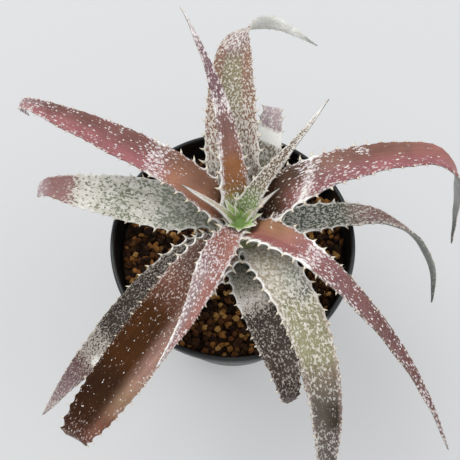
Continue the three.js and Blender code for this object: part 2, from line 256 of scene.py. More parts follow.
damp_clay, tree, shader = finish("damp_clay", Roughness=0.9)
place = node(tree, "TexCoord").outputs["Object"]
crumb = grain(tree, place, 700.0, 4.0, 0.7)
tree.links.new(mixed(tree, crumb, tone("1C1007"), tone("4A301A")), shader.inputs["Base Color"])
relief(tree, shader, crumb, 0.0006)
bed = solid("clay_bed", bed_points, bed_faces, [damp_clay])
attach(bed, "root")
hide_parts("soil")


def smooth(x):
    """3x^2 - 2x^3 with x held between 0 and 1."""
    x = np.clip(x, 0, 1)
    return x * x * (3 - 2 * x)


def granules(centres, sizes, rows=4, columns=7):
    """Uneven balls: radius size * (1 + wobble) on a grid of latitudes and longitudes, squeezed and turned at
    random, with a pole at both ends."""
    count = len(centres)
    lat = np.linspace(0, np.pi, rows + 2)[1:-1]
    lon = np.arange(columns) * 2 * np.pi / columns
    ball = np.stack([np.outer(np.sin(lat), np.cos(lon)), np.outer(np.sin(lat), np.sin(lon)),
                     np.outer(np.cos(lat), np.ones(columns))], -1).reshape(-1, 3)
    ball = np.vstack([ball, [0, 0, 1], [0, 0, -1]])
    wobble = 1 + draw.normal(0, 0.15, (count, len(ball), 1))
    squeeze = draw.uniform(0.66, 1.12, (count, 1, 3))
    spin = np.linalg.qr(draw.normal(0, 1, (count, 3, 3)))[0]
    spin[np.linalg.det(spin) < 0, :, 0] *= -1
    shape = np.einsum("nij,npj->npi", spin, ball[None] * wobble * squeeze)
    points = centres[:, None] + shape * sizes[:, None, None]
    around, top = np.arange(columns), rows * columns
    faces = copies(count, len(ball), walls(rows, columns)[:, [0, 3, 2, 1]], fan(around, top),
                   fan(top - columns + around[::-1], top + 1))
    return points.reshape(-1, 3), faces, len(ball)


centres = []
for layer, (pitch, level) in enumerate([(2.6, -1.9), (2.4, -0.45)]):
    steps = np.arange(-21, 22)
    row, column = np.meshgrid(steps, steps, indexing="ij")
    x = (column + 0.5 * (row % 2) + 0.33 * layer) * pitch
    y = (row + 0.4 * layer) * pitch * 0.866
    spot = np.stack([x, y, np.full(x.shape, SOIL_TOP + level)], -1).reshape(-1, 3)
    spot += draw.normal(0, 1, spot.shape) * [0.5, 0.5, 0.4]
    centres.append(spot)
centres = np.vstack(centres)
centres[:, 2] += 0.9 + 0.9 * smooth(centres[:, 0] / 40)
sizes = draw.uniform(0.9, 1.6, len(centres))
wall_gap = wall_inside(centres[:, 2]) - np.hypot(centres[:, 0], centres[:, 1]) - sizes * 1.12
stem_gap = np.hypot(centres[:, 0] - CROWN_X, centres[:, 1] - CROWN_Y) - STEM_HOLE - sizes * 0.5
kept = (wall_gap > 0) & (stem_gap > 0)
centres, sizes = centres[kept], sizes[kept]
clay_points, clay_faces, ball_points = granules(centres, sizes)
clay_tones = np.array([tone(code) for code in ("36200F", "5A3C1E", "865C30", "BE8E4E", "E0B674", "4E3A22")])
chosen = draw.choice(len(clay_tones), len(centres), p=[0.2, 0.27, 0.23, 0.15, 0.07, 0.08])
clay_tint = np.repeat(clay_tones[chosen], ball_points, axis=0)

baked_clay, tree, shader = finish("baked_clay", Roughness=0.88, IOR=1.4)
place = node(tree, "TexCoord").outputs["Object"]
speck = grain(tree, place, 900.0, 5.0, 0.75)
pits = ramp(tree, grain(tree, place, 2600.0, 2.0), 0.35, 0.6, 0.65, 1.0)
fired = mixed(tree, speck, painted(tree, "tint"), tone("7A4A22"), "SOFT_LIGHT")
tree.links.new(dimmed(tree, fired, pits), shader.inputs["Base Color"])
relief(tree, shader, speck, 0.0007)
clay = solid("clay_granules", clay_points, clay_faces, [baked_clay], {"tint": clay_tint})
clay.data.polygons.foreach_set("use_smooth", np.zeros(len(clay.data.polygons), bool))
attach(clay, "root")

# Crown
# The short stem of the plant, rooted in the clay and swollen by the sheaths of the leaves wrapped round it.
# It is woody and brown below, and pale green with white wool between the leaf bases.

CROWN_PROFILE = np.array([[-20, 6], [1.6, 6], [5, 8.6], [10, 9.6], [14, 9], [16, 7.2], [18, 4.6], [19, 3]])
crown_z = np.concatenate([[-20, -10, -2], np.linspace(0.5, 18.9, 36)])
crown_r = np.interp(crown_z, CROWN_PROFILE[:, 0], CROWN_PROFILE[:, 1])
crown_points, crown_faces = turned([[0, -20], *zip(crown_r, crown_z), [0, 19.8]], 96)
turn_of = np.arctan2(crown_points[:, 1], crown_points[:, 0])
sheath = np.abs(np.sin(2.5 * turn_of + crown_points[:, 2] * 0.42)) ** 0.6
crown_points[:, :2] *= (1 - 0.07 * sheath * (crown_points[:, 2] > 0))[:, None]
crown_points += [CROWN_X, CROWN_Y, SOIL_TOP]

sheathed_stem, tree, shader = finish("sheathed_stem", Roughness=0.7)
place = node(tree, "TexCoord").outputs["Object"]
height_up = node(tree, "SeparateXYZ", {0: place}).outputs["Z"]
wool = calc(tree, "MULTIPLY", ramp(tree, grain(tree, place, 1300.0, 4.0, 0.7), 0.45, 0.6, 0.0, 0.7),
            ramp(tree, height_up, 0.074, 0.077, 1.0, 0.1))
sheath_tone = mixed(tree, ramp(tree, height_up, 0.063, 0.076, 0.0, 1.0), tone("4A3A26"), tone("6E7A46"))
sheath_tone = mixed(tree, ramp(tree, height_up, 0.0755, 0.078, 0.0, 1.0), sheath_tone, tone("6C8A44"))
tree.links.new(mixed(tree, wool, sheath_tone, tone("C9C2AA")), shader.inputs["Base Color"])
relief(tree, shader, wool, 0.0003)
crown = solid("sheathed_crown", crown_points, crown_faces, [sheathed_stem])
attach(crown, "root")
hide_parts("crown")

# Rose leaves
# Five thick, channelled leaves that grow from the crown. Their smooth skin is flushed rose and brown by the
# sun, with white scurf in dots and bands, and their felted margins carry a horny spine at each scallop.

LINE_STEPS = 240


def unit(ways):
    """Each direction divided by its length."""
    return ways / (np.linalg.norm(ways, axis=1, keepdims=True) + 1e-9)


def leaf_line(leaf):
    """Middle line of a leaf, with the blade's side and upper directions at each share s of its length:
    slope(s) = rise + (run - rise) smooth(s / 0.45) + (fall - run) bend(s),
    heading(s) = azimuth + sway s + turn bend(s), where bend(s) = smooth((s - bendAt) / bendOver).
    The line starts at the crown and follows (cos slope cos heading, cos slope sin heading, sin slope). Roll
    and twist turn the blade about it."""
    s = np.linspace(0, 1, LINE_STEPS + 1)
    over = leaf.get("bendOver", 1 - leaf["bendAt"])

    def directions(at):
        bend = smooth((at - leaf["bendAt"]) / over)
        slope = np.radians(leaf["rise"] + (leaf["run"] - leaf["rise"]) * smooth(at / 0.45)
                           + (leaf["fall"] - leaf["run"]) * bend)
        heading = np.radians(leaf["azimuth"] + leaf.get("sway", 0) * at + leaf.get("turn", 0) * bend)
        flat = np.cos(slope)
        return np.stack([flat * np.cos(heading), flat * np.sin(heading), np.sin(slope)], -1), heading

    ahead, heading = directions(s)
    level = np.stack([np.sin(heading), -np.cos(heading), 0 * heading], -1)
    up = np.cross(level, ahead)
    tip = np.radians(leaf.get("roll", 0) * smooth(s / 0.25) + leaf.get("twist", 0) * smooth(
        (s - leaf.get("twistAt", leaf["bendAt"])) / leaf.get("twistOver", over)))
    side = level * np.cos(tip)[:, None] + up * np.sin(tip)[:, None]
    normal = up * np.cos(tip)[:, None] - level * np.sin(tip)[:, None]
    seat = leaf.get("seat", np.interp(leaf["level"], CROWN_PROFILE[:, 0], CROWN_PROFILE[:, 1]) - 2.2)
    azimuth = np.radians(leaf["azimuth"])
    start = [CROWN_X + seat * np.cos(azimuth), CROWN_Y + seat * np.sin(azimuth), SOIL_TOP + leaf["level"]]
    steps, _ = directions((s[1:] + s[:-1]) / 2)
    centre = np.vstack([[start], start + np.cumsum(steps, 0) * leaf["length"] / LINE_STEPS])
    return centre, side, normal


def along(leaf, s):
    """Middle line, side and upper direction of a leaf at the shares s."""
    grid = np.linspace(0, 1, LINE_STEPS + 1)
    return [np.stack([np.interp(s, grid, part[:, axis]) for axis in range(3)], -1) for part in leaf["line"]]


def half_width(leaf, s):
    """(width / 2) (1 - s^taper)^tip (1 - waist exp(-(s / neck)^2)): full in the middle, narrow at the neck,
    where the waist is 0.35 and the neck 0.06 unless the leaf has its own."""
    outline = np.clip(1 - s ** leaf["taper"], 0, 1) ** leaf.get("tip", 1)
    narrowed = leaf.get("waist", 0.35) * np.exp(-(s / leaf.get("neck", 0.06)) ** 2)
    return leaf["width"] / 2 * outline * (1 - narrowed)


def thickness(leaf, s):
    """2.1 mm at the base and 0.8 mm at the tip, times the leaf's own share."""
    return (2.1 + (0.8 - 2.1) * s) * leaf.get("thin", 1)


def blade_place(leaf, s, u, lift=0.0, out=0.0):
    """Point of the blade at share s along and u across, from -1 to 1. The section is an arc of half angle
    c = 50 to 22 degrees: x = (h + out) sin(cu) / c - lift sin(cu) and
    z = (h + out) (1 - cos(cu)) / c + lift cos(cu), with h the half width there."""
    centre, side, normal = along(leaf, s)
    c = np.radians(50 + (22 - 50) * smooth(s / 0.35))
    reach = half_width(leaf, s) + out
    x = reach * np.sin(c * u) / c - lift * np.sin(c * u)
    z = reach * (1 - np.cos(c * u)) / c + lift * np.cos(c * u)
    return centre + side * x[..., None] + normal * z[..., None]


def spine_places(leaf):
    """Distances from the base of the spines on one margin: steps of 5.6 mm at the base and 3.4 mm at the tip,
    each 20 percent longer or shorter by chance."""
    at, places = draw.uniform(1.5, 4.5), []
    while at < leaf["length"] * 0.985:
        places.append(at)
        at += (5.6 + (3.4 - 5.6) * at / leaf["length"]) * draw.uniform(0.8, 1.2)
    return np.array(places)


def bay(leaf, s, places):
    """Depth of the scallops between the spines: -d (1 - (2f - 1)^2)^0.7 plus 0.4 d, where f goes from 0 to 1
    between two spines and d falls from 1.6 mm at the base to 0.35 mm past the middle. A ragged end is notched
    up to the leaf's own depth."""
    v = s * leaf["length"]
    ends = np.concatenate([[places[0] - 6], places, [leaf["length"] + 3]])
    k = np.clip(np.searchsorted(ends, v, side="right") - 1, 0, len(ends) - 2)
    f = np.clip((v - ends[k]) / (ends[k + 1] - ends[k]), 0, 1)
    d = (0.35 + 1.25 * (1 - smooth(s / 0.5))) * leaf.get("bays", 1)
    d = (d + leaf.get("ragged", 0) * smooth((s - 0.6) / 0.3)) * np.minimum(half_width(leaf, s) / 5, 1)
    return d * (0.4 - (1 - (2 * f - 1) ** 2) ** 0.7)


def margin_bay(leaf, s, u):
    """Depth of the scallops on the margin that u lies towards."""
    left, right = (bay(leaf, s, places) for places in leaf["spines"])
    return np.where(u > 0, right, left)


def stops(rows, s):
    """Straight line between the values given at shares of the length."""
    places = [row[0] for row in rows]
    values = np.array([tone(TONES[row[1]]) if isinstance(row[1], str) else row[1] for row in rows], float)
    if values.ndim == 1:
        return np.interp(s, places, values)
    return np.stack([np.interp(s, places, values[:, part]) for part in range(4)], -1)


def skin_paint(leaf, s, u, under):
    """Colour and scurf of the skin. Across the blade the colour goes from the left half's stops to the right
    half's, round u = parted and over a width of 1 / sharp, then from rimFrom outwards to the rim's tone by
    the share rimmed, and underneath to the underside's. Scurf is the leaf's stops at s + slant u, plus a bell
    shape exp(-(ds)^2 - (du)^2) for each patch, and rises to solid felt at the margin."""
    blend_over = smooth((u - leaf.get("parted", 0)) * leaf.get("sharp", 0.8) + 0.5)[:, None]
    tint = stops(leaf["left"], s) * (1 - blend_over) + stops(leaf.get("right", leaf["left"]), s) * blend_over
    edge = np.abs(u)
    if "rim" in leaf:
        share = (smooth((edge - leaf.get("rimFrom", 0.7)) / 0.25) * leaf.get("rimmed", 0.8))[:, None]
        tint = tint * (1 - share) + stops(leaf["rim"], s) * share
    scurf = stops(leaf["scurf"], s + leaf.get("slant", 0) * u)
    for at, across, reach, spread, strength in leaf.get("patches", ()):
        scurf = scurf + strength * np.exp(-((s - at) / reach) ** 2 - ((u - across) / spread) ** 2)
    margin = (1 - edge) * np.maximum(half_width(leaf, s), 0.5)
    felt = stops(leaf.get("felt", ((0, 0.9), (0.2, 0.7), (0.35, 0.25), (1, 0.2))), s)
    scurf = scurf + felt * np.exp(-(margin / leaf.get("feltWidth", 0.6)) ** 2)
    below = stops(leaf.get("below", ((0.8, "underside"), (1, "slate_green"))), s)
    tint = np.where(under[:, None], below, tint)
    scurf = np.where(under, stops(leaf.get("scurf_below", ((1, 0.2),)), s), scurf)
    return tint, np.clip(scurf, 0, 1.3)


def blade(leaf):
    """Closed blade: rings at shares s, each across the top from u = -1 to 1 and back below, closed by a pole
    at the tip and by facing pairs at the base. Top lift = -(t / 2) (1 - e) and bottom lift = -(t / 2) (1 + e),
    with e = sqrt(1 - u^6). The margins are scalloped, and ripple by 0.3 mm. The scurf's pattern is laid on in
    millimetres across and along, enlarged by the leaf's coarse."""
    rows = max(int(leaf["length"] / leaf.get("step", 0.6)), 24)
    half = leaf.get("across", 26)
    s = np.linspace(0, 0.992, rows)
    u_top = np.sin(np.linspace(-1, 1, half + 1) * np.pi / 2)
    u = np.concatenate([u_top, u_top[-2:0:-1]])
    under = np.concatenate([np.zeros(half + 1, bool), np.ones(half - 1, bool)])
    ss, uu = np.meshgrid(s, u, indexing="ij")
    dd = np.broadcast_to(under, ss.shape)
    e = np.sqrt(1 - np.abs(uu) ** 6)
    lift = -thickness(leaf, ss) / 2 * np.where(dd, 1 + e, 1 - e)
    ripple = 0.3 * np.sin(ss * leaf["length"] / 2.9 + leaf["wave"]) * np.abs(uu) ** 3 * smooth(ss / 0.2)
    out = margin_bay(leaf, ss, uu) * np.abs(uu) ** 2
    points = blade_place(leaf, ss, uu, lift + ripple * leaf.get("thin", 1), out)
    around = len(u)
    faces = copies(1, 0, walls(rows, around), fan((rows - 1) * around + np.arange(around), rows * around))
    j = np.arange(1, half - 1)
    faces += np.stack([j + 1, j, around - j, around - j - 1], -1).tolist()
    faces += [[1, 0, around - 1], [half, half - 1, half + 1]]
    tip = along(leaf, np.array([1.0]))
    points = np.vstack([points.reshape(-1, 3), tip[0] - tip[2] * thickness(leaf, 1.0) / 2])
    share = np.append(ss.ravel(), 1.0)
    across = np.append(uu.ravel(), 0.0)
    below = np.append(dd.ravel(), False)
    place = np.stack([across * np.maximum(half_width(leaf, share), 0.3), share * leaf["length"],
                      (below * 50.0 + leaf["wave"] * 20) * leaf.get("coarse", 1)],
                     -1) / leaf.get("coarse", 1)
    return points, faces, share, across, below, place


def cones(root, ahead, bend, length, width, sides, rows):
    """Curved cones: the line root + ahead * t + bend * t^2 with t from 0 to length, and rings of radius
    width (1 - t / length)^0.8 round it, closed in a point and left to sink in what they grow from."""
    count = len(root)
    t = np.linspace(0, 1, rows + 1)[:-1]
    line = (root[:, None] + ahead[:, None] * (length[:, None] * t)[..., None]
            + bend[:, None] * (length[:, None] * t ** 2)[..., None])
    helper = np.where(np.abs(ahead[:, 2:]) > 0.9, [[1.0, 0, 0]], [[0, 0, 1.0]])
    first = unit(np.cross(ahead, helper))
    second = np.cross(ahead, first)
    angle = np.arange(sides) * 2 * np.pi / sides
    spoke = (first[:, None, None] * np.cos(angle)[None, None, :, None]
             + second[:, None, None] * np.sin(angle)[None, None, :, None])
    radius = (width[:, None] * (1 - t) ** 0.8)[..., None, None]
    rings = line[:, :, None] + spoke * radius
    tips = root + (ahead + bend) * length[:, None]
    foot = root - ahead * width[:, None] * 0.5
    points = np.concatenate([rings.reshape(count, -1, 3), tips[:, None], foot[:, None]], 1)
    ring, top = np.arange(sides), rows * sides
    faces = copies(count, top + 2, walls(rows, sides), fan(top - sides + ring, top), fan(ring[::-1], top + 1))
    share = np.concatenate([np.repeat(t, sides), [1.0, 0.0]])
    return points.reshape(-1, 3), faces, np.tile(share, count)


def margin_point(leaf, s, sign, out):
    """Point just inside the margin, with the outward and forward directions there."""
    lift = -thickness(leaf, s) / 2
    here = blade_place(leaf, s, sign, lift, out)
    beyond = blade_place(leaf, s, sign, lift, out + 1.0)
    ahead = blade_place(leaf, np.minimum(s + 0.01, 1), sign, lift, out)
    return here, unit(beyond - here), unit(ahead - here)


def spines(leaf):
    """A spine at each point of the margins, broad at its foot, leaning forward and hooked to the tip, 1.5 mm
    long at the base of the leaf and 0.6 mm at its end, times the leaf's spiny."""
    parts = []
    for sign, places in zip((-1.0, 1.0), leaf["spines"]):
        s = places / leaf["length"]
        signs = np.full(len(s), sign)
        here, outward, ahead = margin_point(leaf, s, signs, bay(leaf, s, places) - 0.5)
        length = (1.5 + (0.6 - 1.5) * smooth(s / 0.6)) * draw.uniform(0.6, 1.25, len(s))
        length = length * leaf.get("spiny", 1) + 0.5
        width = (0.62 - 0.3 * smooth(s / 0.7)) * draw.uniform(0.85, 1.1, len(s))
        lean = draw.uniform(-0.1, 0.35, (len(s), 1))
        parts.append(cones(here, outward + ahead * lean, ahead * 0.4, length, width, 6, 4))
    return parts


def hairs(leaf, count):
    """Wool on the margins: fine hairs 0.5 to 1.5 mm long, thickest near the base, each curved its own way."""
    s = draw.beta(1.0, leaf.get("woolly", 2.6), count) * 0.97
    sign = draw.choice([-1.0, 1.0], count)
    u = sign * draw.uniform(0.86, 1.0, count)
    out = margin_bay(leaf, s, sign) - 0.1
    root = blade_place(leaf, s, u, -0.15 * thickness(leaf, s), out * np.abs(u) ** 2)
    _, outward, ahead = margin_point(leaf, s, sign, out)
    _, _, normal = along(leaf, s)
    way = outward * draw.uniform(0.2, 1.0, (count, 1)) + ahead * draw.normal(0.1, 0.5, (count, 1))
    way = way + normal * 0.5
    length = draw.uniform(0.5, 1.5, count) * (1 - 0.5 * s) * leaf.get("hairy", 1)
    return [cones(root, unit(way), draw.normal(0, 0.35, (count, 3)), length, np.full(count, 0.055), 3, 2)]


TUFT_SIDES = 7


def tufts(leaf):
    """Sparse raised tufts of scurf, 0.13 mm high: flat ovals of radius 0.13 to 0.28 mm times the leaf's
    speck, drawn out along it by its dashes. They lie on a jittered grid of 2.0 by 1.7 mm, each there by
    chance, as the leaf's stops say."""
    v, w = np.meshgrid(np.arange(2, leaf["length"] - 1, 2.0), np.arange(-14, 14.1, 1.7), indexing="ij")
    v = v + draw.uniform(-1.0, 1.0, v.shape)
    w = w + draw.uniform(-0.8, 0.8, w.shape)
    s = np.clip(v / leaf["length"], 0, 0.985)
    width = half_width(leaf, s)
    fits = (np.abs(w) < width - 0.5) & (draw.uniform(0, 1, s.shape) < stops(leaf["tufts"], s))
    s, u = s[fits], (w / np.maximum(width, 0.1))[fits]
    size = draw.uniform(0.13, 0.28, len(s)) * leaf.get("speck", 1)
    stretch = draw.uniform(1.0, 1.5, len(s)) * leaf.get("dashes", 1)
    angle = np.arange(TUFT_SIDES) * 2 * np.pi / TUFT_SIDES
    rings = []
    for reach, height in ((1.0, -0.12), (0.75, 0.08)):
        uneven = draw.uniform(0.8, 1.2, (2, len(s), TUFT_SIDES))
        dv = size[:, None] * stretch[:, None] * np.sin(angle) * reach * uneven[0]
        dw = size[:, None] * np.cos(angle) * reach * uneven[1]
        at = s[:, None] + dv / leaf["length"]
        over = u[:, None] + dw / np.maximum(half_width(leaf, s), 0.5)[:, None]
        rings.append(blade_place(leaf, np.clip(at, 0, 1), over, np.full(at.shape, height)))
    top = blade_place(leaf, s, u, np.full(len(s), 0.13))
    foot = blade_place(leaf, s, u, np.full(len(s), -0.2))
    points = np.concatenate([rings[0], rings[1], top[:, None], foot[:, None]], 1)
    ring = np.arange(TUFT_SIDES)
    faces = copies(len(s), points.shape[1], walls(2, TUFT_SIDES), fan(TUFT_SIDES + ring, 2 * TUFT_SIDES),
                   fan(ring[::-1], 2 * TUFT_SIDES + 1))
    return points.reshape(-1, 3), faces, np.ones(points.shape[0] * points.shape[1])


def facing_out(points, faces):
    """The faces, turned round where the volume that they close, the sum of a . (b x c) / 6, is below zero."""
    corners = np.array([face[:3] for face in faces] + [[f[0], f[2], f[3]] for f in faces if len(f) == 4])
    a, b, c = (points[corners[:, k]] for k in range(3))
    return faces if np.einsum("ij,ij->i", a, np.cross(b, c)).sum() > 0 else [face[::-1] for face in faces]


def leaf_blade(leaf):
    """The leaf's line, wave and spine places, and its blade: points, faces, tint, scurf and pattern place."""
    leaf["line"] = leaf_line(leaf)
    leaf["wave"] = draw.uniform(0, 6)
    leaf["spines"] = (spine_places(leaf), spine_places(leaf))
    points, faces, s, u, under, place = blade(leaf)
    return points, facing_out(points, faces), *skin_paint(leaf, s, u, under), place


def joined(parts):
    """One mesh's points, faces and paint from several blades or the like."""
    points, faces, tint, scurf, place = zip(*parts)
    starts = np.cumsum([0] + [len(part) for part in points[:-1]]).tolist()
    faces = [[c + start for c in face] for part, start in zip(faces, starts) for face in part]
    return np.vstack(points), faces, {"tint": np.vstack(tint), "scurf": np.concatenate(scurf),
                                      "blade": np.vstack(place)}


def leaf_piece(leaf, skin, hair_count=420):
    """One leaf: blade, spines, margin wool and tufts in one mesh, with the paint that its materials read."""
    parts = [leaf_blade(leaf)]
    groups = [0] * len(parts[0][1])
    horn, horn_tip, wool_tone = (tone(TONES[name]) for name in ("horn", "horn_tip", "wool"))
    extra = [(part, 1, horn, horn_tip) for part in (spines(leaf) if leaf.get("spiny", 1) else [])]
    extra += [(part, 2, wool_tone, wool_tone) for part in hairs(leaf, hair_count)]
    if "tufts" in leaf:
        extra.append((tufts(leaf), 2, wool_tone, wool_tone))
    for (points, faces, share), group, root_tone, tip_tone in extra:
        if faces:
            fade = (share ** 2)[:, None]
            parts.append((points, facing_out(points, faces), root_tone * (1 - fade) + tip_tone * fade,
                          np.zeros(len(points)), points))
            groups += [group] * len(faces)
    points, faces, paint = joined(parts)
    piece = solid(leaf["name"] + "_grown", points, faces, [skin, spine_horn, leaf_wool], paint, groups)
    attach(piece, "root")
    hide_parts(leaf["name"])


def leaf_skin(name, across, length, gloss, fleck, fleck_shade, streaks=0.16, worms=False, shine=0.5):
    """Skin with scurf: a cell pattern laid on the blade, across by length millimetres a cell, in which a cell
    holds a fleck where its random number is under the scurf, larger the more scurf there is, until the flecks
    join into a whiter felt. Worms puts winding lines in place of the large flecks, where cloudy noise passes
    a level that falls as the scurf grows. Flecks take up 0.18 of the tint, which has long streaks and soft
    clouds. Gloss is the bare skin's roughness, and shine how strongly it mirrors."""
    made, tree, shader = finish(name, Roughness=gloss, IOR=1.4, Specular_IOR_Level=shine)
    place, tint = painted(tree, "blade", "Vector"), painted(tree, "tint")
    scurf = painted(tree, "scurf", "Fac")
    shake = node(tree, "TexNoise", {"Vector": place, "Scale": 1.1, "Detail": 2.0}).outputs["Color"]
    shake = vector(tree, "MULTIPLY", vector(tree, "SUBTRACT", shake, (0.5, 0.5, 0.5)), (1.0, 1.3, 0.0))
    moved = vector(tree, "ADD", place, shake)

    def times(first, second, clamp=False):
        return calc(tree, "MULTIPLY", first, second, clamp)

    def plus(first, second):
        return calc(tree, "ADD", first, second)

    def flecks(fine, first, grow):
        laid = vector(tree, "MULTIPLY", moved, (fine / across, fine / length, 1.0))
        cell = node(tree, "TexVoronoi", {"Vector": laid, "Scale": 1.0, "Randomness": 0.95},
                    voronoi_dimensions="2D").outputs
        pick = node(tree, "SeparateColor", {0: cell["Color"]}).outputs
        there = times(calc(tree, "SUBTRACT", times(scurf, 1.15), pick[0]), 5.0, True)
        size = plus(times(pick[1], 0.16), plus(first, times(scurf, grow)))
        body = times(calc(tree, "SUBTRACT", size, cell["Distance"]), 6.0, True)
        return times(body, there), pick[2]

    large, shade = flecks(1.0, 0.22, 0.2)
    small, _ = flecks(1.9, 0.14, 0.16)
    if worms:
        laid = vector(tree, "MULTIPLY", moved, (1 / across, 1 / length, 1.0))
        level = plus(grain(tree, laid, 1.6, 1.0), ramp(tree, scurf, 0.0, 1.0, -0.68, -0.33))
        large = times(times(level, 14.0, True), ramp(tree, scurf, 0.2, 0.9, 0.55, 1.0))
    rough = times(grain(tree, place, 1.3, 4.0, 0.7), 0.7)
    felted = times(plus(calc(tree, "SUBTRACT", scurf, 1.3), rough), 3.5, True)
    cover = calc(tree, "MAXIMUM", large, times(small, 0.3 if worms else 0.75))
    cover = calc(tree, "MAXIMUM", cover, felted)
    streak = grain(tree, vector(tree, "MULTIPLY", place, (2.4, 0.05, 1.0)), 1.0, 3.0, 0.6)
    depth = plus(ramp(tree, streak, 0.3, 0.7, 1 - streaks, 1 + streaks),
                 ramp(tree, grain(tree, place, 0.16, 2.0), 0.3, 0.7, -0.14, 0.14))
    white = mixed(tree, times(shade, 0.8), tone(fleck), tone(fleck_shade))
    white = mixed(tree, felted, mixed(tree, 0.18, white, tint), tone("F3F1EC"))
    tree.links.new(mixed(tree, cover, dimmed(tree, tint, depth), white), shader.inputs["Base Color"])
    tree.links.new(ramp(tree, cover, 0.0, 1.0, gloss, 0.9), shader.inputs["Roughness"])
    relief(tree, shader, plus(cover, times(streak, 0.3)), 0.00012)
    return made


def grown_finish(name, rough, cloudiness):
    """Horn or wool, which takes its tone from the tint and a little cloudiness."""
    made, tree, shader = finish(name, Roughness=rough, IOR=1.5)
    cloud = grain(tree, node(tree, "TexCoord").outputs["Object"], 1800.0, 2.0)
    cloud = ramp(tree, cloud, 0.3, 0.7, 1 - cloudiness, 1.0)
    tree.links.new(dimmed(tree, painted(tree, "tint"), cloud), shader.inputs["Base Color"])
    return made


spine_horn = grown_finish("spine_horn", 0.4, 0.2)
leaf_wool = grown_finish("leaf_wool", 0.95, 0.1)

